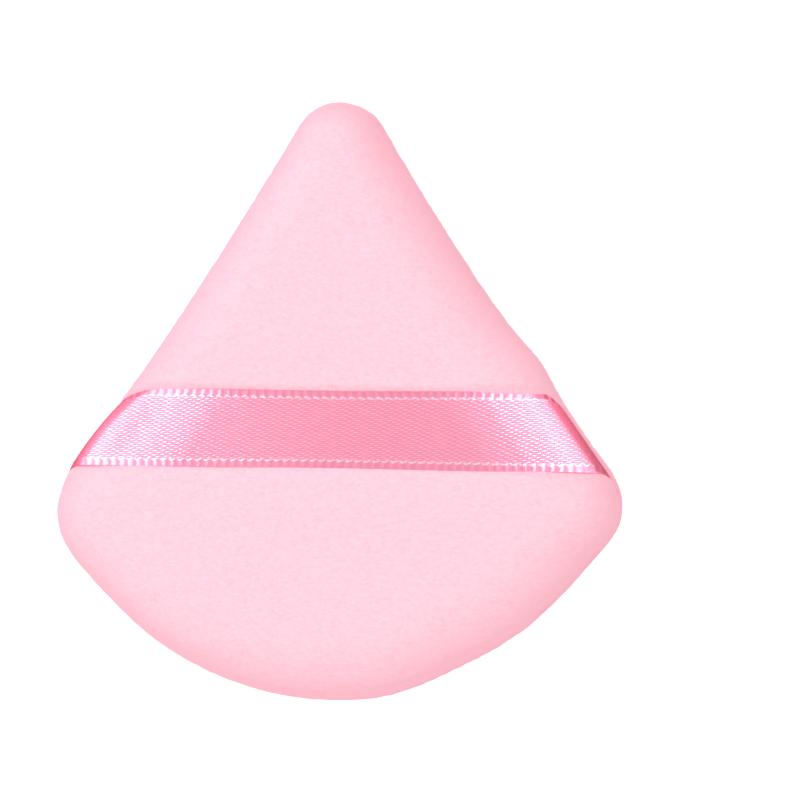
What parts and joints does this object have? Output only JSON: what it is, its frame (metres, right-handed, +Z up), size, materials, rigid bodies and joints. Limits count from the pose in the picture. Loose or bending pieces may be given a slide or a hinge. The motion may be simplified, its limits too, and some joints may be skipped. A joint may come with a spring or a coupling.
{
  "type": "powder puff",
  "caption": "Rounded triangular velour powder puff with a padded, gently crowned body and a satin finger ribbon sewn across its front, for pressing powder on.",
  "frame": {"origin": "middle of the bounding box, on the surface that the puff's application face lies on", "axes": "+Z up through the ribbon side, +Y towards the tip, X along the ribbon, right as seen from the front"},
  "size_m": [0.0726, 0.0758, 0.013],
  "materials": {
    "velour": "pale pink short-pile velour",
    "sponge": "off-white open-cell sponge",
    "fibre": "white bonded fibre wadding",
    "satin": "glossy pink single-face satin with woven edges",
    "thread": "pink sewing thread"
  },
  "bodies": {
    "puff": {"front_cover": "velour", "back_cover": "velour", "foam_core": "sponge", "front_wadding": "fibre", "back_wadding": "fibre", "needle_thread": "thread", "bobbin_thread": "thread", "closing_thread": "thread"},
    "strap": {"ribbon_strap": "satin"}
  },
  "joints": [
    {"name": "strap_lift", "type": "slide", "parent": "puff", "child": "strap", "axis": [0, 0, 1], "range_m": [0, 0.006], "stiffness_N_per_m": 5, "deforming": ["ribbon_strap"]}
  ]
}
